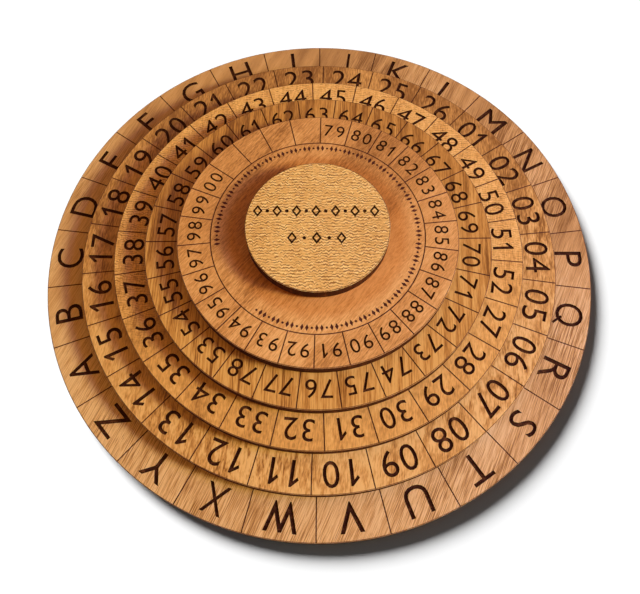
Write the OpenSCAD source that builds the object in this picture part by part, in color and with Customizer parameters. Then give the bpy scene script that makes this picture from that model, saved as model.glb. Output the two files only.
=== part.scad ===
// Wooden cipher wheels: a letter wheel that serves as the base, four number wheels that turn on a
// sleeve at its centre, and a round knob that screws down to hold the setting.
// Z is up, and the origin is the centre of the base's underside. Sizes are in millimetres.

/* [Wheels] */
// Diameter of the smallest number wheel, which lies on top
inner_wheel_d = 92.4; // [80:0.2:120]
// Width of the letters' band that shows on the base
letter_band = 13.4; // [10:0.1:18]
// Width of the band that shows on the lowest number wheel
outer_band = 12.3; // [9:0.1:16]
// Width of the band that shows on the second number wheel
second_band = 11.5; // [9:0.1:16]
// Width of the band that shows on the third number wheel
third_band = 11.6; // [9:0.1:16]
// Thickness of every wheel
wheel_t = 4.5; // [3.6:0.1:7]
// Size of the small chamfer on every wooden edge
edge_break = 0.3; // [0.1:0.05:0.6]

/* [Engraved lines] */
// Cells round each wheel, one for each letter
cells = 26; // [20:1:32]
// Width of the lines between the cells
line_w = 0.4; // [0.2:0.05:0.8]
// Depth of the lines
line_depth = 0.2; // [0.1:0.05:0.5]
// How far the lines run on beneath the wheel above
line_run_under = 2; // [0:0.5:4]
// Width of the numbered band on the smallest wheel
inner_band = 11; // [8:0.1:14]

/* [Setting] */
// Angle of the lowest number wheel from the letters
outer_turn = -1.1; // [-180:0.1:180]
// Angle of the second number wheel from the letters
second_turn = 2.1; // [-180:0.1:180]
// Angle of the third number wheel from the letters
third_turn = 7.7; // [-180:0.1:180]
// Angle of the smallest number wheel from the letters
inner_turn = -1.0; // [-180:0.1:180]

/* [Knob] */
// Diameter of the knob
knob_d = 46.8; // [38:0.2:60]
// Thickness of the knob, whose lower ply is just thick enough for its nut
knob_t = 4.5; // [3.8:0.1:8]
// Diameter of the leather thrust washer under the knob
thrust_washer_d = 36; // [26:0.5:38]
// Thickness of the thrust washer
thrust_washer_t = 1.1; // [0.8:0.1:2]

/* [Slip washers] */
// Diameter of the slip washers between the wheels
slip_washer_d = 36; // [20:1:60]
// Thickness of each slip washer
slip_washer_t = 0.3; // [0.2:0.05:0.6]

/* [Pivot] */
// Diameter of the pivot screw
screw_d = 5; // [4:0.5:6]
// Diameter of the screw's countersunk head
screw_head_d = 10; // [9.5:0.1:12]
// Width across flats of the screw's hexagon socket
socket_af = 3; // [2:0.5:4]
// Depth of the hexagon socket
socket_depth = 2; // [1:0.1:2.5]
// Wall of the sleeve that the wheels turn on
sleeve_wall = 1.4; // [1:0.1:2]
// Width across flats of the thin nuts
nut_af = 8; // [7.5:0.5:10]
// Height of the thin nuts
nut_h = 2.7; // [2:0.1:3.2]
// Diameter of the cup washer round the screw's head
cup_washer_d = 14; // [13:0.5:18]

/* [Clearances] */
// Radial play of a wheel on the sleeve
turn_play = 0.08; // [0.03:0.01:0.1]
// Radial play of a nut or washer on the screw, and of the screw in the sleeve
thread_play = 0.1; // [0.05:0.05:0.2]
// Play round a piece that is glued or let into wood
seat_play = 0.05; // [0.02:0.01:0.1]
// Room above and below the nut that is let into the smallest wheel
nut_room = 0.3; // [0.2:0.05:0.5]
// How far the screw's head sits above the base's underside
head_sink = 0.2; // [0.1:0.05:0.5]

/* [Hidden] */
$fn = 180;

// Wheel radii, from the top wheel outwards: each wheel is one band wider than the one on it.
inner_r = inner_wheel_d / 2;
third_r = inner_r + third_band;
second_r = third_r + second_band;
outer_r = second_r + outer_band;
letter_r = outer_r + letter_band;

// Heights: a slip washer lies between each wheel and the next.
pitch = wheel_t + slip_washer_t;
outer_z = pitch;
second_z = 2 * pitch;
third_z = 3 * pitch;
inner_z = 4 * pitch;
stack_top = inner_z + wheel_t;
knob_z = stack_top + thrust_washer_t;

// The sleeve stands on the base and carries a thin nut that is let into the smallest wheel.
sleeve_r = screw_d / 2 + thread_play + sleeve_wall;
sleeve_top = stack_top - nut_room - nut_h;
wheel_bore_r = sleeve_r + turn_play;
nut_corner_r = nut_af / 2 / cos(30);
nut_recess_r = nut_corner_r + nut_room;
nut_chamfer = 0.4;
knob_body_t = nut_h + nut_room;

// The screw's head has a 90 degree cone, and its tip ends inside the knob's nut.
head_h = (screw_head_d - screw_d) / 2;
screw_bore_r = screw_d / 2 + thread_play;
screw_top = knob_z + nut_h - thread_play;
cup_washer_h = head_sink + head_h;
past = 1; // how far a cutting tool runs past the surface that it opens

// A round wooden blank with broken edges, bored through.
module wooden_disc(r, t, bore_r) {
    rotate_extrude()
        polygon([
            [bore_r, 0], [r - edge_break, 0], [r, edge_break],
            [r, t - edge_break], [r - edge_break, t], [bore_r, t]
        ]);
}

// The lines between the cells, as the tool that cuts them into a wheel whose top is at z = 0.
// The first line lies on the +Y axis.
module cell_lines(from_r, to_r) {
    for (i = [0 : cells - 1])
        rotate([0, 0, 90 + i * 360 / cells])
            translate([from_r, -line_w / 2, -line_depth])
                cube([to_r - from_r + past, line_w, line_depth + past]);
}

// A number wheel that lies at height z, with lines on the band that shows beside the wheel above.
module number_wheel(r, z, turn, next_r) {
    translate([0, 0, z])
        rotate([0, 0, turn])
            difference() {
                wooden_disc(r, wheel_t, wheel_bore_r);
                translate([0, 0, wheel_t])
                    cell_lines(next_r - line_run_under, r);
            }
}

module letter_wheel() {
    color([0.74, 0.50, 0.31])
        difference() {
            wooden_disc(letter_r, wheel_t, screw_bore_r);
            translate([0, 0, wheel_t])
                cell_lines(outer_r - line_run_under, letter_r);
            translate([0, 0, -past])
                cylinder(r = cup_washer_d / 2 + seat_play, h = cup_washer_h + past);
        }
}

module number_wheel_outer() {
    color([0.76, 0.48, 0.22]) number_wheel(outer_r, outer_z, outer_turn, second_r);
}

module number_wheel_second() {
    color([0.83, 0.60, 0.33]) number_wheel(second_r, second_z, second_turn, third_r);
}

module number_wheel_third() {
    color([0.72, 0.45, 0.21]) number_wheel(third_r, third_z, third_turn, inner_r);
}

// The smallest wheel has a ring line inside its numbers and a recess for the sleeve's nut.
module number_wheel_inner() {
    ring_r = inner_r - inner_band;
    color([0.78, 0.48, 0.25])
        difference() {
            number_wheel(inner_r, inner_z, inner_turn, ring_r + line_run_under);
            translate([0, 0, stack_top - line_depth])
                difference() {
                    cylinder(r = ring_r + line_w / 2, h = line_depth + past);
                    translate([0, 0, -past])
                        cylinder(r = ring_r - line_w / 2, h = line_depth + 3 * past);
                }
            translate([0, 0, sleeve_top - nut_room])
                cylinder(r = nut_recess_r, h = wheel_t);
        }
}

// The knob's lower ply, cut through with a hexagon that holds its nut.
module knob_body() {
    color([0.86, 0.66, 0.37])
        translate([0, 0, knob_z])
            difference() {
                rotate_extrude()
                    polygon([
                        [0, 0], [knob_d / 2 - edge_break, 0], [knob_d / 2, edge_break],
                        [knob_d / 2, knob_body_t], [0, knob_body_t]
                    ]);
                translate([0, 0, -past])
                    cylinder(r = nut_corner_r + seat_play, h = knob_body_t + 2 * past, $fn = 6);
            }
}

// The knob's top ply, glued over the nut.
module knob_face() {
    color([0.86, 0.66, 0.37])
        translate([0, 0, knob_z])
            rotate_extrude()
                polygon([
                    [0, knob_body_t], [knob_d / 2, knob_body_t], [knob_d / 2, knob_t - edge_break],
                    [knob_d / 2 - edge_break, knob_t], [0, knob_t]
                ]);
}

// A flat ring that lies at height z.
module flat_ring(r, bore_r, z, t) {
    translate([0, 0, z])
        rotate_extrude()
            translate([bore_r, 0])
                square([r - bore_r, t]);
}

module thrust_washer() {
    color([0.25, 0.15, 0.10])
        flat_ring(thrust_washer_d / 2, screw_bore_r, stack_top, thrust_washer_t);
}

module slip_washer(n) {
    color([0.90, 0.89, 0.84])
        flat_ring(slip_washer_d / 2, wheel_bore_r, n * pitch - slip_washer_t, slip_washer_t);
}

module pivot_sleeve() {
    color([0.78, 0.62, 0.32])
        flat_ring(sleeve_r, screw_bore_r, wheel_t, sleeve_top - wheel_t);
}

// A thin hexagon nut with chamfered corners, whose underside is at height z.
module thin_nut(z) {
    color([0.70, 0.70, 0.71])
        translate([0, 0, z])
            difference() {
                intersection() {
                    cylinder(r = nut_corner_r, h = nut_h, $fn = 6);
                    rotate_extrude()
                        polygon([
                            [0, 0], [nut_corner_r - nut_chamfer, 0], [nut_corner_r, nut_chamfer],
                            [nut_corner_r, nut_h - nut_chamfer], [nut_corner_r - nut_chamfer, nut_h], [0, nut_h]
                        ]);
                }
                translate([0, 0, -past])
                    cylinder(r = screw_bore_r, h = nut_h + 2 * past);
            }
}

module pivot_screw() {
    color([0.70, 0.70, 0.71])
        difference() {
            rotate_extrude()
                polygon([
                    [0, head_sink], [screw_head_d / 2, head_sink], [screw_d / 2, head_sink + head_h],
                    [screw_d / 2, screw_top - edge_break], [screw_d / 2 - edge_break, screw_top], [0, screw_top]
                ]);
            translate([0, 0, head_sink - past])
                cylinder(r = socket_af / 2 / cos(30), h = socket_depth + past, $fn = 6);
        }
}

// The ring round the screw's head: its cone matches the head, and it lies flush with the base.
module cup_washer() {
    color([0.78, 0.62, 0.32])
        rotate_extrude()
            polygon([
                [screw_head_d / 2 + thread_play, head_sink], [cup_washer_d / 2, head_sink],
                [cup_washer_d / 2, cup_washer_h], [screw_bore_r, cup_washer_h]
            ]);
}

letter_wheel();
number_wheel_outer();
number_wheel_second();
number_wheel_third();
number_wheel_inner();
knob_body();
knob_face();
thin_nut(knob_z);  // knob_nut
thrust_washer();
slip_washer(1);  // slip_washer_1
slip_washer(2);  // slip_washer_2
slip_washer(3);  // slip_washer_3
slip_washer(4);  // slip_washer_4
pivot_sleeve();
thin_nut(sleeve_top);  // sleeve_nut
pivot_screw();
cup_washer();
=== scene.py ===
import math

import bpy
from mathutils import Matrix, Vector


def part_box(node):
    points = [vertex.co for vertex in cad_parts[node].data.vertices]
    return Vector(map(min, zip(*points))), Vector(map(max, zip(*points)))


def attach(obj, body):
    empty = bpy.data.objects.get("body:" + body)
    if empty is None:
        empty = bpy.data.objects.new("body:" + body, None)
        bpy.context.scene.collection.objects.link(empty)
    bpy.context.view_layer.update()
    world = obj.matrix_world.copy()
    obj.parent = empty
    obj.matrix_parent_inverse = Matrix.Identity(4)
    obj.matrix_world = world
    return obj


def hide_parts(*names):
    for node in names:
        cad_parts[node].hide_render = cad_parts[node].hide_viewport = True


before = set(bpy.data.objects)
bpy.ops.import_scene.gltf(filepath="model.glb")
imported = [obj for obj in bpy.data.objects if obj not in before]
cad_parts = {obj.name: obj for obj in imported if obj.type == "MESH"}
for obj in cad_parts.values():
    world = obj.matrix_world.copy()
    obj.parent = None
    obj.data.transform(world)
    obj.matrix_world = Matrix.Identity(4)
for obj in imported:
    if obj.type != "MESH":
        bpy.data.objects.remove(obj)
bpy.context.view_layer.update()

# ---------------------------------------------------------------------------------------------
# Camera: close above the front of the base, looking down and slightly back, so that the stack
# rises towards the lens and the far bands look narrower than the near ones.
# ---------------------------------------------------------------------------------------------
camera_place = Vector((0.0029, -0.1072, 0.2258))
camera_tilt = math.radians(22.7)
camera_turn = math.radians(1.9)
camera_roll = math.radians(-1.6)
camera_lens = 39.1
camera_shift = 0.004

bpy.ops.object.camera_add(location=camera_place)
camera = bpy.context.object
camera.data.lens = camera_lens
camera.data.sensor_width = 36.0
camera.data.shift_x = camera_shift
camera.data.clip_start = 0.01
camera.matrix_world = (
    Matrix.Translation(camera_place)
    @ Matrix.Rotation(camera_turn, 4, "Z")
    @ Matrix.Rotation(camera_tilt, 4, "X")
    @ Matrix.Rotation(camera_roll, 4, "Z")
)
bpy.context.scene.camera = camera

# ---------------------------------------------------------------------------------------------
# Studio: a pale floor with a hole under the base, so that a lamp reaches the underside, and a pale
# backdrop. A far lamp low at the right shades each step of the stack, a near blue one cools that
# side, and a warm panel fills from above. A sun and a dim panel light the floor alone.
# ---------------------------------------------------------------------------------------------
bpy.context.scene.view_settings.view_transform = "Standard"

sky_strength = 0.01
floor_reach = 3.0
floor_hole = 0.0947  # a little less than the base's radius, so that it never shows from above
backdrop_radius = 2.9
backdrop_height = 4.0

sky = bpy.data.worlds.new("dim_sky")
sky.use_nodes = True
sky.node_tree.nodes["Background"].inputs["Color"].default_value = (1.0, 1.0, 1.0, 1.0)
sky.node_tree.nodes["Background"].inputs["Strength"].default_value = sky_strength
bpy.context.scene.world = sky

bpy.ops.mesh.primitive_circle_add(vertices=96, radius=floor_hole)
bpy.ops.object.mode_set(mode="EDIT")
bpy.ops.mesh.extrude_region_move()
bpy.ops.transform.resize(value=(floor_reach / floor_hole, floor_reach / floor_hole, 1.0))
bpy.ops.object.mode_set(mode="OBJECT")
floor = bpy.context.object
floor.name = "floor"
floor_paint = bpy.data.materials.new("floor_paint")
floor_paint.use_nodes = True
floor_shader = floor_paint.node_tree.nodes["Principled BSDF"]
floor_shader.inputs["Base Color"].default_value = (0.8, 0.8, 0.8, 1.0)
floor_shader.inputs["Roughness"].default_value = 0.95
floor_shader.inputs["Specular IOR Level"].default_value = 0.0
floor.data.materials.append(floor_paint)

bpy.ops.mesh.primitive_cylinder_add(
    vertices=96, radius=backdrop_radius, depth=backdrop_height, end_fill_type="NOTHING")
backdrop = bpy.context.object
backdrop.name = "backdrop"
backdrop_paper = bpy.data.materials.new("backdrop_paper")
backdrop_paper.use_nodes = True
paper_shader = backdrop_paper.node_tree.nodes["Principled BSDF"]
paper_shader.inputs["Base Color"].default_value = (0.0, 0.0, 0.0, 1.0)
paper_shader.inputs["Emission Color"].default_value = (1.0, 1.0, 1.0, 1.0)
paper_shader.inputs["Emission Strength"].default_value = 1.0
backdrop.data.materials.append(backdrop_paper)
backdrop.visible_diffuse = False
backdrop.visible_shadow = False

only_floor = bpy.data.collections.new("only_floor")
only_floor.objects.link(floor)
all_but_floor = bpy.data.collections.new("all_but_floor")
all_but_floor.objects.link(floor)
all_but_floor.collection_objects[0].light_linking.link_state = "EXCLUDE"


def soft_lamp(kind, name, place, size, power, colour, lights):
    """A lamp at a place, turned to the object. It shines on all, or on what a collection allows.
    Its size is a sun's angle in radians or a panel's side in metres."""
    bpy.ops.object.light_add(type=kind, location=place)
    lamp = bpy.context.object
    lamp.name = name
    lamp.data.energy = power
    lamp.data.color = colour
    if kind == "SUN":
        lamp.data.angle = size
    else:
        lamp.data.size = size
    lamp.visible_camera = False
    lamp.rotation_mode = "QUATERNION"
    lamp.rotation_quaternion = (Vector((0, 0, 0.01)) - Vector(place)).to_track_quat("-Z", "Y")
    lamp.light_linking.receiver_collection = lights
    return lamp


soft_lamp(
    "SUN", "key_sun", place=(0.872, -0.185, 0.454), size=math.radians(12), power=5.0,
    colour=(0.64, 0.69, 0.31), lights=all_but_floor)
blue_lamp = soft_lamp(
    "AREA", "blue_lamp", place=(0.30, -0.07, 0.24), size=0.15, power=1.5,
    colour=(0.29, 0.38, 1.0), lights=all_but_floor)
blue_lamp.visible_glossy = False
soft_lamp(
    "AREA", "warm_panel", place=(0.0, 0.0, 0.9), size=2.4, power=9.2,
    colour=(1.0, 0.51, 0.08), lights=all_but_floor)
soft_lamp(
    "AREA", "under_lamp", place=(0.0, 0.0, -0.55), size=1.5, power=8.0,
    colour=(1.0, 0.98, 0.95), lights=None)
soft_lamp(
    "SUN", "floor_sun", place=(-0.545, 0.65, 0.54), size=math.radians(27), power=7.6,
    colour=(1.0, 1.0, 1.0), lights=only_floor)
soft_lamp(
    "AREA", "floor_panel", place=(0.0, 0.0, 0.8), size=1.6, power=0.75,
    colour=(1.0, 1.0, 1.0), lights=only_floor)

# ---------------------------------------------------------------------------------------------
# Letter wheel: the base that lies on the table. One disc of pink-brown cherry, cut and engraved
# by laser, with the letters A to Z in 26 cells that run clockwise. The cup washer round the
# pivot screw's head is let into its underside.
# ---------------------------------------------------------------------------------------------
mm = 0.001
cells = 26
full_turn = 2 * math.pi
cell_angle = full_turn / cells
sides_per_cell = 12
edge_break = 0.25 * mm
line_width = 0.38 * mm
line_depth = 0.15 * mm
line_run_under = 2 * mm
above = 0.4 * mm  # how far a cutting tool stands above the surface that it cuts
hair = 0.01 * mm  # what counts as level with a face
on_face, on_rim, on_wall, on_floor, on_line = range(5)  # where a wooden piece has its materials
screw_bore = 2.6 * mm
seat_play = 0.05 * mm
letter_height = 9.3 * mm
letter_foot = 83.3 * mm
letter_depth = 0.48 * mm
letters = "JKLMNOPQRSTUVWXYZABCDEFGHI"
letter_widths = {
    "A": 0.86, "B": 0.66, "C": 0.82, "D": 0.86, "G": 0.88, "M": 1.0, "N": 0.86, "O": 0.9,
    "R": 0.80, "S": 0.58, "T": 0.84, "V": 0.82, "W": 1.14, "X": 0.80}
letter_weights = {"W": 0.020, "V": 0.010}


class Socket:
    """One output of a material's node. Sums and products of it add Math nodes."""

    def __init__(self, tree, output):
        self.tree = tree
        self.output = output

    def node(self, kind, settings, values, output=0):
        """Adds a node: its settings first, then the values or links of its sockets."""
        made = self.tree.nodes.new(kind)
        for name, value in settings.items():
            if name == "stops":
                set_stops(made.color_ramp, value)
            else:
                setattr(made, name, value)
        for name, value in values.items():
            if isinstance(value, Socket):
                self.tree.links.new(value.output, made.inputs[name])
            else:
                made.inputs[name].default_value = value
        return Socket(self.tree, made.outputs[output])

    def maths(self, operation, first, second):
        return self.node("ShaderNodeMath", {"operation": operation}, {0: first, 1: second})

    def vector_maths(self, operation, other=(0.0, 0.0, 0.0), output=0):
        return self.node("ShaderNodeVectorMath", {"operation": operation}, {0: self, 1: other}, output)

    def __add__(self, other):
        return self.maths("ADD", self, other)

    def __radd__(self, other):
        return self.maths("ADD", other, self)

    def __sub__(self, other):
        return self.maths("SUBTRACT", self, other)

    def __rsub__(self, other):
        return self.maths("SUBTRACT", other, self)

    def __mul__(self, other):
        return self.maths("MULTIPLY", self, other)

    def __rmul__(self, other):
        return self.maths("MULTIPLY", other, self)

    def __truediv__(self, other):
        return self.maths("DIVIDE", self, other)

    def __rtruediv__(self, other):
        return self.maths("DIVIDE", other, self)

    def sine(self):
        return self.maths("SINE", self, 0.0)

    def between(self, low, high):
        """0 where this socket is at or under low, 1 where it is at or over high, smooth between."""
        values = {"Value": self, "From Min": low, "From Max": high}
        return self.node("ShaderNodeMapRange", {"interpolation_type": "SMOOTHSTEP"}, values)

    def noise(self, size, detail, distortion=0.0):
        """Noise from about -0.5 to 0.5 over this vector, with features of a size in x, y, z in mm."""
        stretch = tuple(1.0 / (length * mm) for length in size)
        values = {
            "Vector": self.vector_maths("MULTIPLY", stretch), "Scale": 1.0, "Detail": detail,
            "Roughness": 0.55, "Distortion": distortion}
        return self.node("ShaderNodeTexNoise", {}, values) - 0.5

    def part(self, axis):
        """One coordinate of this vector."""
        return self.node("ShaderNodeSeparateXYZ", {}, {0: self}, output=axis)

    def ramp(self, stops):
        """This number as a colour, between stops of a number and a colour."""
        return self.node("ShaderNodeValToRGB", {"stops": stops}, {0: self})

    def tinted(self, colour, amount):
        """This colour, multiplied by another where amount is 1."""
        settings = {"data_type": "RGBA", "blend_type": "MULTIPLY"}
        return self.node("ShaderNodeMix", settings, {0: amount, 6: self, 7: (*colour, 1.0)}, output=2)

    def bump(self, distance, strength=0.5):
        """A normal for a surface that rises by distance, in mm, where this number rises by 1."""
        values = {"Strength": strength, "Distance": distance * mm, "Height": self}
        return self.node("ShaderNodeBump", {}, values)

    def feeds(self, shader, socket):
        self.tree.links.new(self.output, shader.inputs[socket])


def set_stops(ramp, stops):
    """Gives a colour ramp its stops."""
    while len(ramp.elements) < len(stops):
        ramp.elements.new(1.0)
    for element, (place, colour) in zip(ramp.elements, stops):
        element.position = place
        element.color = (*colour, 1.0)


def new_finish(name, roughness, metallic=0.0, turn=0.0, offset=(0.0, 0.0, 0.0)):
    """An empty material: its shader, and a vector of the place on the piece, moved and turned."""
    material = bpy.data.materials.new(name)
    material.use_nodes = True
    tree = material.node_tree
    shader = tree.nodes["Principled BSDF"]
    shader.inputs["Roughness"].default_value = roughness
    shader.inputs["Metallic"].default_value = metallic
    place = Socket(tree, tree.nodes.new("ShaderNodeTexCoord").outputs["Object"])
    values = {"Vector": place, "Location": offset, "Rotation": (0.0, 0.0, math.radians(-turn))}
    return material, shader, place.node("ShaderNodeMapping", {}, values)


def wood(name, colour, grain, figure, rings, pores, offset=(0, 0), paler_tone_and_light=(0, 0), ripple=None, knob_shade_radius=0):
    """Oiled wood whose grain lies at an angle to X. Each part of the figure is noise with a length
    along the grain, a width, a strength and, where its edges are crisp, half the range that they
    take. Rings have a gap and a strength. An angle and an amount make the wood paler towards the
    side at that angle, partly the board's own tone and partly painted light. A ripple across the
    grain has a gap from wave to wave, the length of a wave, a strength, and the angle of the side
    where it dies out. A radius in mm darkens the wood inside it with painted shade round the knob."""
    material, shader, place = new_finish(name, 0.45, turn=grain, offset=(*offset, 0))
    centred = place.vector_maths("SUBTRACT", (*offset, 0))

    def towards(angle):
        """How far out the place lies on the side at an angle, as a share of the outer bands' radius."""
        side = math.radians(angle - grain)
        out = centred.part(0) * math.cos(side) + centred.part(1) * math.sin(side)
        return out / (70 * mm)

    ring_gap, ring_strength = rings
    wander = place.noise((90.0, 28.0, 28.0), detail=1.0)
    tone = 0.5 + (place.part(1) * (full_turn / (ring_gap * mm)) + wander * 30.0).sine() * ring_strength
    # Paler towards one side: partly the board's own tone and partly painted light.
    tone = tone + towards(paler_tone_and_light[0]) * paler_tone_and_light[1]
    height = place.noise((6.0, 0.3, 0.6), detail=2.0)
    shade = 0.65 + place.noise((50.0, 50.0, 50.0), detail=1.0) * 1.8 - towards(90) * 0.3
    for length, width, strength, edge in figure:
        layer = place.noise((length, width, width), detail=2.5, distortion=0.2)
        if edge:
            layer = (layer.between(-edge, edge) - 0.5) * shade
        tone = tone + layer * strength
        height = height + layer * (0.4 * strength)
    if ripple:
        gap, length, strength, dies_out = ripple
        sway = place.noise((3.2 * gap, 0.6 * length, length), detail=1.5) * 15.0
        waves = (place.part(0) * (full_turn / (gap * mm)) + sway).sine().between(-0.9, 0.5) - 0.6
        broken = place.noise((0.8 * gap, 0.9 * length, length), detail=1.5, distortion=0.5)
        waves = waves * (0.15 + broken.between(-0.12, 0.16) * 1.25)
        if dies_out is not None:
            waves = waves * (1.0 - towards(dies_out).between(-0.086, 0.514))
        tone = tone + waves * strength
        height = height + waves * (0.6 + 3.0 * strength)
    flecks = place.noise((2.4, 0.28, 0.5), detail=1.0).between(0.13, 0.24) * pores
    dark = tuple(part * share for part, share in zip(colour, (0.40, 0.30, 0.22)))
    pale = tuple(min(part * share, 1.0) for part, share in zip(colour, (1.35, 1.65, 2.2)))
    boards = tone.ramp(((0.10, dark), (0.5, colour), (0.90, pale)))
    boards = boards.tinted((0.42, 0.26, 0.16), flecks)
    # Painted shade: the wood is darkened inside a radius, round the foot of the knob.
    if knob_shade_radius:
        reach = centred.vector_maths("MULTIPLY", (1, 1, 0)).vector_maths("LENGTH", output=1)
        inside = 1.0 - (reach / mm).between(knob_shade_radius, knob_shade_radius + 5.0)
        boards = boards.tinted((0.86, 0.68, 0.50), inside)
    boards.feeds(shader, "Base Color")
    (height - flecks).bump(0.06).feeds(shader, "Normal")
    (0.45 + flecks * 0.2).feeds(shader, "Roughness")
    return material


def burnt(name, pale, deep):
    """Wood that the laser has charred, with the fine upright ribs that its pulses leave."""
    material, shader, place = new_finish(name, 0.7)
    shader.inputs["Specular IOR Level"].default_value = 0.05
    soot = place.noise((2.2, 2.2, 1.4), detail=3.0) + place.noise((0.3, 0.3, 6.0), detail=1.0) * 0.6
    soot.ramp(((0.0, deep), (0.3, pale))).feeds(shader, "Base Color")
    place.noise((0.3, 0.3, 4.0), detail=1.0).bump(0.12).feeds(shader, "Normal")
    return material


def place_mesh(piece, matrix):
    """Moves a piece's mesh, and leaves its object at the origin."""
    piece.data.transform(matrix @ piece.matrix_world)
    piece.matrix_world = Matrix.Identity(4)


def make_active(piece):
    bpy.ops.object.select_all(action="DESELECT")
    piece.select_set(True)
    bpy.context.view_layer.objects.active = piece


def combine(piece, tool, operation="DIFFERENCE"):
    """Cuts the tool's shape out of a piece, or adds it, and deletes the tool."""
    make_active(piece)
    modifier = piece.modifiers.new("combine", "BOOLEAN")
    modifier.operation = operation
    modifier.solver = "EXACT"
    modifier.object = tool
    bpy.ops.object.modifier_apply(modifier=modifier.name)
    bpy.data.objects.remove(tool)


def joined(tools):
    """One object made of several."""
    bpy.ops.object.select_all(action="DESELECT")
    for tool in tools:
        tool.select_set(True)
    bpy.context.view_layer.objects.active = tools[0]
    bpy.ops.object.join()
    return tools[0]


def prism(radius, bottom, top, sides=96):
    """An upright tool on the Z axis, round or with a few sides and one corner on the X axis."""
    bpy.ops.mesh.primitive_cylinder_add(
        vertices=sides, radius=radius, depth=top - bottom, location=(0, 0, (bottom + top) / 2))
    piece = bpy.context.object
    place_mesh(piece, Matrix.Rotation(math.pi / 2, 4, "Z"))
    return piece


def wooden_blank(name, node, bore=0.0, broken=("bottom", "top")):
    """A round blank with a CAD node's size and place, its outer edges broken, bored through."""
    low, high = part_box(node)
    ends = {"bottom": low.z, "top": high.z}
    piece = prism(high.x, low.z, high.z, cells * sides_per_cell)
    piece.name = name
    make_active(piece)
    bpy.ops.object.mode_set(mode="EDIT")
    bpy.ops.mesh.select_mode(type="EDGE")
    bpy.ops.mesh.select_all(action="DESELECT")
    bpy.ops.object.mode_set(mode="OBJECT")
    for edge in piece.data.edges:
        corners = [piece.data.vertices[number].co for number in edge.vertices]
        edge.select = any(all(abs(c.z - ends[end]) < edge_break for c in corners) for end in broken)
    bpy.ops.object.mode_set(mode="EDIT")
    bpy.ops.mesh.bevel(offset=edge_break, segments=2)
    bpy.ops.object.mode_set(mode="OBJECT")
    if bore:
        combine(piece, prism(bore, low.z - above, high.z + above))
    return piece


def upper_face(piece):
    """The height of a piece's upper face."""
    return max(vertex.co.z for vertex in piece.data.vertices)


character_forms = {}


def flagged_one():
    """The figure 1 as an upright with a short slanting flag and no foot."""
    outline = [(-0.07, 0), (0.07, 0), (0.07, 1), (-0.01, 1), (-0.28, 0.72), (-0.22, 0.61), (-0.07, 0.77)]
    mesh = bpy.data.meshes.new("figure_1")
    mesh.from_pydata([(x, y, 0.5) for x, y in outline], [], [range(len(outline))])
    form = bpy.data.objects.new("figure_1", mesh)
    bpy.context.collection.objects.link(form)
    make_active(form)
    bpy.ops.object.mode_set(mode="EDIT")
    bpy.ops.mesh.select_all(action="SELECT")
    bpy.ops.mesh.extrude_region_move(TRANSFORM_OT_translate={"value": (0, 0, -1)})
    bpy.ops.mesh.select_all(action="SELECT")
    bpy.ops.mesh.normals_make_consistent(inside=False)
    bpy.ops.object.mode_set(mode="OBJECT")
    return form


def typed(character):
    """One character as a closed solid, 1 thick, in the proportions of the built-in typeface."""
    bpy.ops.object.text_add()
    text = bpy.context.object
    text.data.body = character
    text.data.resolution_u = 4
    text.data.extrude = 0.5
    text.data.offset = letter_weights.get(character, 0.0)
    bpy.ops.object.convert(target="MESH")
    form = bpy.context.object
    bpy.ops.object.mode_set(mode="EDIT")
    bpy.ops.mesh.select_all(action="SELECT")
    bpy.ops.mesh.remove_doubles(threshold=0.0001)
    bpy.ops.object.mode_set(mode="OBJECT")
    return form


def bar(length, width, place, turn):
    """A flat bar, 1 thick, that adds a stroke to a character."""
    bpy.ops.mesh.primitive_cube_add(size=1)
    piece = bpy.context.object
    place_mesh(piece, (
        Matrix.Translation((*place, 0))
        @ Matrix.Rotation(math.radians(turn), 4, "Z")
        @ Matrix.Diagonal((length, width, 1, 1))))
    return piece


def character_form(character):
    """A character's solid, 1 high and 1 thick, centred on x = 0 with its foot on y = 0."""
    if character not in character_forms:
        like = "O" if character == "Q" else character
        form = flagged_one() if character == "1" else typed(like)
        corners = [vertex.co for vertex in form.data.vertices]
        left, right = min(c.x for c in corners), max(c.x for c in corners)
        foot, top = min(c.y for c in corners), max(c.y for c in corners)
        middle = 0.0 if character == "1" else (left + right) / 2
        tall = 1 / (top - foot)
        width = letter_widths.get(like)
        wide = width / (right - left) if width else tall
        place_mesh(form, Matrix.Diagonal((wide, tall, 1, 1)) @ Matrix.Translation((-middle, -foot, 0)))
        if character == "Q":
            combine(form, bar(length=0.42, width=0.09, place=(0.27, 0.09), turn=-42), "UNION")
        character_forms[character] = form
    return character_forms[character]


def engrave(piece, words, turn, foot, height, depth, spacing=0.0):
    """Cuts words into the cells of a wheel, clockwise from the line at its back, tops outwards."""
    surface = upper_face(piece)
    tools = []
    for number, word in enumerate(words):
        angle = turn - (number + 0.5) * cell_angle
        for place, character in enumerate(word):
            shift = (place - (len(word) - 1) / 2) * spacing
            tool = bpy.data.objects.new("tool", character_form(character).data.copy())
            bpy.context.collection.objects.link(tool)
            place_mesh(tool, (
                Matrix.Rotation(angle, 4, "Z")
                @ Matrix.Translation((shift, foot, surface + (above - depth) / 2))
                @ Matrix.Diagonal((height, height, above + depth, 1))))
            tools.append(tool)
    combine(piece, joined(tools))


def rule_lines(piece, turn, start, end):
    """Cuts the thin lines between a wheel's cells, from one radius to another."""
    surface = upper_face(piece)
    tools = []
    for number in range(cells):
        bpy.ops.mesh.primitive_cube_add(size=1)
        tool = bpy.context.object
        place_mesh(tool, (
            Matrix.Rotation(math.pi / 2 + turn + number * cell_angle, 4, "Z")
            @ Matrix.Translation(((start + end) / 2, 0, surface + (above - line_depth) / 2))
            @ Matrix.Diagonal((end - start, line_width, above + line_depth, 1))))
        tools.append(tool)
    combine(piece, joined(tools))


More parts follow.
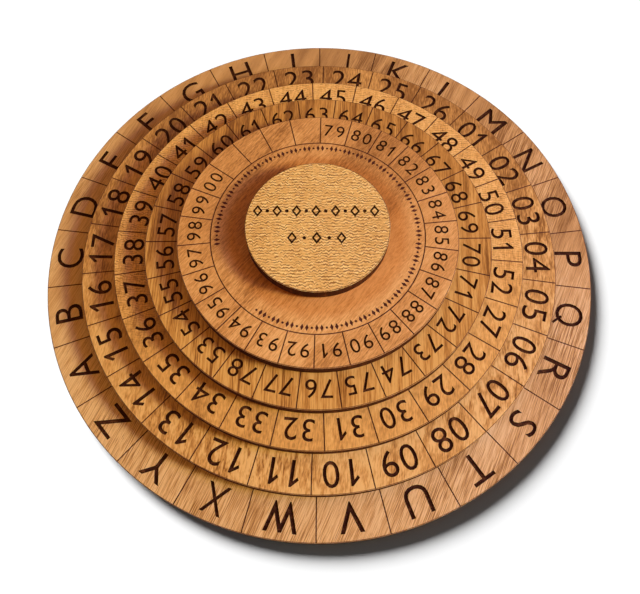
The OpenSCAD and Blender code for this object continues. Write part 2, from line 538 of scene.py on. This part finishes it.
def finish_wheel(piece, faces, rim, cuts):
    """Gives a piece's faces and top edge their wood, its rim the laser's brown, and what is cut
    into it the finishes of walls, floors and fine lines."""
    piece.data.materials.clear()
    for material in (faces, rim, *cuts):
        piece.data.materials.append(material)
    top = upper_face(piece)
    bottom = min(vertex.co.z for vertex in piece.data.vertices)
    radius = max(vertex.co.x for vertex in piece.data.vertices)
    for face in piece.data.polygons:
        depth = top - face.center.z
        reach = math.hypot(face.center.x, face.center.y)
        outward = face.normal.x * face.center.x + face.normal.y * face.center.y
        level = face.normal.z > 0.9
        if depth < hair or face.center.z - bottom < hair:
            face.material_index = on_face
        elif reach > radius - 1.5 * edge_break and outward > 0 and not level:
            face.material_index = on_face if face.normal.z > 0.2 else on_rim
        elif depth < (1.1 if level else 0.6) * line_depth:
            face.material_index = on_line
        else:
            face.material_index = on_floor if level else on_wall
    make_active(piece)
    bpy.ops.object.shade_smooth_by_angle(angle=math.radians(20))


burnt_cuts = (
    burnt("burnt_walls", pale=(0.060, 0.017, 0.007), deep=(0.014, 0.004, 0.002)),
    burnt("burnt_floors", pale=(0.150, 0.048, 0.018), deep=(0.040, 0.011, 0.006)),
    burnt("burnt_lines", pale=(0.175, 0.050, 0.037), deep=(0.080, 0.021, 0.017)))
base_rim = burnt("base_rim", pale=(0.170, 0.062, 0.020), deep=(0.055, 0.018, 0.007))
pink_cherry = wood(
    "pink_cherry", (0.595, 0.281, 0.100), grain=66, pores=0.45, rings=(9.0, 0.07), paler_tone_and_light=(230, 0.13),
    figure=((60.0, 22.0, 0.6, 0), (14.0, 3.0, 0.4, 0), (14.0, 0.42, 0.40, 0.12), (7.0, 0.25, 0.46, 0.08)))

base_low, base_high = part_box("letter_wheel")

letter_wheel = wooden_blank("engraved_letter_wheel", "letter_wheel", bore=screw_bore)
washer_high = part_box("cup_washer")[1]
combine(letter_wheel, prism(washer_high.x + seat_play, base_low.z - above, washer_high.z))
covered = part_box("number_wheel_outer")[1].x
rule_lines(letter_wheel, 0.0, covered - line_run_under, base_high.x + above)
engrave(letter_wheel, letters, 0.0, letter_foot, letter_height, letter_depth)
finish_wheel(letter_wheel, pink_cherry, base_rim, burnt_cuts)
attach(letter_wheel, "base")
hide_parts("letter_wheel")

# ---------------------------------------------------------------------------------------------
# Number wheels: four discs, each cut from a board of its own and engraved by laser with two
# figures in every cell, from 01 in the lowest wheel to 00 in the smallest, which has four cells
# left blank. They turn on the brass sleeve, and the smallest has a recess for the sleeve's nut.
# ---------------------------------------------------------------------------------------------
turn_play = 0.08 * mm
nut_room = 0.3 * mm
figure_depth = 0.45 * mm
ring_line = 35.2 * mm
garland_middle = 33.1 * mm
lozenge_half_length = 1.15 * mm
lozenge_half_width = 0.552 * mm
dot_radius = 0.4 * mm
garland_step = 1.55 * mm


def numbers(first, last):
    """Numbers with two figures each; 100 is written 00."""
    return [f"{number % 100:02d}" for number in range(first, last + 1)]


def begun_with(first, band):
    """A band's numbers, begun with the one that follows the line at the back of the wheel."""
    start = band.index(first)
    return band[start:] + band[:start]


def ring_groove(piece, radius):
    """Cuts one thin line all round."""
    surface = upper_face(piece)
    sides = cells * sides_per_cell
    tool = prism(radius + line_width / 2, surface - line_depth, surface + above, sides)
    combine(tool, prism(radius - line_width / 2, surface - above, surface + 2 * above, sides))
    combine(piece, tool)


def garland(piece, start, sweep):
    """Cuts a ring of small lozenges and dots, clockwise from an angle in degrees."""
    surface = upper_face(piece)
    count = int(math.radians(sweep) * garland_middle / garland_step)
    tools = []
    for number in range(count + 1):
        lozenge = number % 3 != 2
        tool = prism(1.0, -0.5, 0.5, 4 if lozenge else 10)
        long, wide = (lozenge_half_length, lozenge_half_width) if lozenge else (dot_radius, dot_radius)
        place_mesh(tool, (
            Matrix.Rotation(math.radians(start - sweep * number / count), 4, "Z")
            @ Matrix.Translation((garland_middle, 0, surface + (above - line_depth) / 2))
            @ Matrix.Diagonal((long, wide, above + line_depth, 1))))
        tools.append(tool)
    combine(piece, joined(tools))


rim = burnt("burnt_rim", pale=(0.150, 0.036, 0.009), deep=(0.045, 0.010, 0.003))

amber_cherry = wood(
    "amber_cherry", (0.608, 0.264, 0.069), grain=84, offset=(0.31, 0.12), pores=0.3, rings=(11.0, 0.06),
    paler_tone_and_light=(270, 0.20),
    figure=((80.0, 14.0, 0.9, 0), (6.0, 2.5, 0.42, 0.12), (2.6, 0.6, 0.40, 0.12), (2.2, 0.4, 1.2, 0)))
curly_maple = wood(
    "curly_maple", (0.720, 0.325, 0.083), grain=86, offset=(0.07, 0.44), pores=0.15, rings=(16.0, 0.04),
    paler_tone_and_light=(90, 0.08), ripple=(0.85, 3.2, 0.34, 280),
    figure=((90.0, 34.0, 0.4, 0), (9.0, 5.0, 0.35, 0), (1.8, 1.2, 0.5, 0), (2.2, 0.35, 0.8, 0)))
golden_cherry = wood(
    "golden_cherry", (0.534, 0.212, 0.042), grain=89, offset=(0.52, 0.23), pores=0.35, rings=(5.0, 0.10),
    paler_tone_and_light=(270, 0.18),
    figure=((90.0, 9.0, 0.9, 0), (22.0, 1.3, 0.36, 0.12), (14.0, 0.5, 0.44, 0.10), (2.5, 0.3, 0.8, 0)))
# The darker ring inside 27 mm of this wood is painted shade round the knob.
red_cherry = wood(
    "red_cherry", (0.626, 0.256, 0.071), grain=52, offset=(0.15, 0.61), pores=0.25, rings=(14.0, 0.03),
    paler_tone_and_light=(285, 0.14), knob_shade_radius=27.0,
    figure=((80.0, 24.0, 0.9, 0), (16.0, 6.0, 0.3, 0), (4.0, 0.5, 0.30, 0.10), (1.4, 0.28, 0.9, 0)))

number_wheels = (
    # place in the stack, slot, wood, turn, numbers from the line at the back, foot, height, spacing
    ("outer", "amber_cherry", amber_cherry, -1.1, begun_with("24", numbers(1, 26)), 71.3, 8.2, 6.36),
    ("second", "curly_maple", curly_maple, 2.1, begun_with("45", numbers(27, 52)), 59.3, 7.0, 5.5),
    ("third", "golden_cherry", golden_cherry, 7.7, begun_with("63", numbers(53, 78)), 48.05, 6.0, 4.85),
    ("inner", "red_cherry", red_cherry, -1.0, numbers(79, 100) + [""] * 4, 38.2, 4.65, 4.15),
)
inside = [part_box("number_wheel_" + wheel[0])[1].x for wheel in number_wheels[1:]]
inside.append(ring_line + line_run_under)
sleeve_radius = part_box("pivot_sleeve")[1].x

for (place, slot, timber, turn, words, foot, height, spacing), next_radius in zip(number_wheels, inside):
    node = "number_wheel_" + place
    wheel = wooden_blank("engraved_" + node, node, bore=sleeve_radius + turn_play)
    turn = math.radians(turn)
    rule_lines(wheel, turn, next_radius - line_run_under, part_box(node)[1].x + above)
    engrave(wheel, words, turn, foot * mm, height * mm, figure_depth, spacing * mm)
    if place == "inner":
        ring_groove(wheel, ring_line)
        garland(wheel, start=187.0, sweep=312.0)
        nut_low, nut_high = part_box("sleeve_nut")
        combine(wheel, prism(nut_high.x + nut_room, nut_low.z - nut_room, upper_face(wheel) + above))
    finish_wheel(wheel, timber, rim, burnt_cuts)
    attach(wheel, "wheel_" + place)
    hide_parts(node)

for form in character_forms.values():
    bpy.data.objects.remove(form)

# ---------------------------------------------------------------------------------------------
# Knob: two plies of rippled maple, glued. The lower one is cut through with a hexagon that holds
# the nut, and two rows of lozenges and dots are engraved in the upper one.
# ---------------------------------------------------------------------------------------------
knob_line = 0.55 * mm
knob_depth = 0.35 * mm
knob_dot = 0.6 * mm
knob_rows = (
    # start, end, bottom and top in mm, and how many lozenges
    (-19.4, 18.4, 2.9, 7.3, 7),
    (-8.1, 7.7, -6.85, -2.45, 3),
)


def lozenge_row(piece, start, end, bottom, top, count):
    """Cuts a row of lozenge outlines with dots between them, along X."""
    surface = upper_face(piece)
    step = (end - start) / (2 * count - 2)
    middle = (bottom + top) / 2
    tools = []
    for number in range(2 * count - 1):
        if number % 2:
            tool = prism(knob_dot, -0.5, 0.5, 16)
        else:
            tall = (top - bottom) / 2
            wide = 0.72 * tall
            tool = prism(1.0, -0.5, 0.5, 4)
            place_mesh(tool, Matrix.Diagonal((wide, tall, 1, 1)))
            hollow = prism(1.0, -0.8, 0.8, 4)
            place_mesh(hollow, Matrix.Diagonal((wide - 1.3 * knob_line, tall - 1.9 * knob_line, 1, 1)))
            combine(tool, hollow)
        place_mesh(tool, (
            Matrix.Translation((start + number * step, middle, surface + (above - knob_depth) / 2))
            @ Matrix.Diagonal((1, 1, above + knob_depth, 1))))
        tools.append(tool)
    combine(piece, joined(tools))


quilted_maple = wood(
    "quilted_maple", (0.774, 0.401, 0.119), grain=90, offset=(0.22, 0.33), pores=0.0, rings=(18.0, 0.03),
    figure=((60.0, 30.0, 0.35, 0), (1.0, 1.0, 0.5, 0)), ripple=(1.0, 1.9, 0.66, None))

nut_low, nut_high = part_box("knob_nut")
knob_body = wooden_blank("knob_lower_ply", "knob_body", broken=("bottom",))
combine(knob_body, prism(nut_high.x + seat_play, nut_low.z - above, upper_face(knob_body) + above, 6))
knob_face = wooden_blank("knob_upper_ply", "knob_face", broken=("top",))
for start, end, bottom, top, count in knob_rows:
    lozenge_row(knob_face, start * mm, end * mm, bottom * mm, top * mm, count)
for ply, node in ((knob_body, "knob_body"), (knob_face, "knob_face")):
    finish_wheel(ply, quilted_maple, rim, burnt_cuts)
    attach(ply, "knob")
    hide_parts(node)

# ---------------------------------------------------------------------------------------------
# Pivot: a zinc-plated screw up through the base, a turned brass sleeve that the wheels turn on,
# a thin nut that holds it, a like nut in the knob, and a brass cup washer round the head.
# ---------------------------------------------------------------------------------------------


def dress(node, material):
    """Gives a CAD node that keeps its shape its finish."""
    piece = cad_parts[node]
    piece.data.materials.clear()
    piece.data.materials.append(material)


def plated(name, colour, roughness):
    """Bright metal with the fine turning marks of a lathe and a few dull patches."""
    material, shader, place = new_finish(name, roughness, metallic=1.0)
    dull = place.noise((3.0, 3.0, 3.0), detail=3.0)
    marks = place.noise((30.0, 30.0, 0.12), detail=1.0)
    tone = 0.5 + dull * 0.8 + marks * 0.3
    tone.ramp(((0.2, tuple(part * 0.72 for part in colour)), (0.8, colour))).feeds(shader, "Base Color")
    marks.bump(0.02, 0.3).feeds(shader, "Normal")
    (roughness + dull * 0.25).feeds(shader, "Roughness")
    return material


plated_steel = plated("plated_steel", (0.72, 0.73, 0.74), 0.28)
turned_brass = plated("turned_brass", (0.86, 0.64, 0.30), 0.25)
for node, metal in (
        ("pivot_screw", plated_steel), ("sleeve_nut", plated_steel), ("knob_nut", plated_steel),
        ("pivot_sleeve", turned_brass), ("cup_washer", turned_brass)):
    dress(node, metal)

# ---------------------------------------------------------------------------------------------
# Washers: a disc of brown leather that the knob presses on, and four thin slip washers of
# natural nylon that keep the wheels apart.
# ---------------------------------------------------------------------------------------------
brown_leather, leather_shader, place = new_finish("brown_leather", 0.62)
grain_pits = place.noise((0.7, 0.7, 0.7), detail=3.0)
creases = place.noise((5.0, 5.0, 5.0), detail=3.0)
hide = 0.5 + grain_pits * 0.6 + creases * 0.7
hide.ramp(((0.2, (0.045, 0.018, 0.009)), (0.8, (0.16, 0.070, 0.032)))).feeds(leather_shader, "Base Color")
(grain_pits + creases * 0.5).bump(0.12).feeds(leather_shader, "Normal")
dress("thrust_washer", brown_leather)

washer_nylon, nylon_shader, place = new_finish("washer_nylon", 0.38)
clouds = place.noise((4.0, 4.0, 4.0), detail=2.0)
milky = (0.5 + clouds).ramp(((0.2, (0.70, 0.67, 0.60)), (0.8, (0.84, 0.82, 0.76))))
milky.feeds(nylon_shader, "Base Color")
place.noise((0.4, 0.4, 0.4), detail=1.0).bump(0.03).feeds(nylon_shader, "Normal")
for number in range(1, 5):
    dress(f"slip_washer_{number}", washer_nylon)
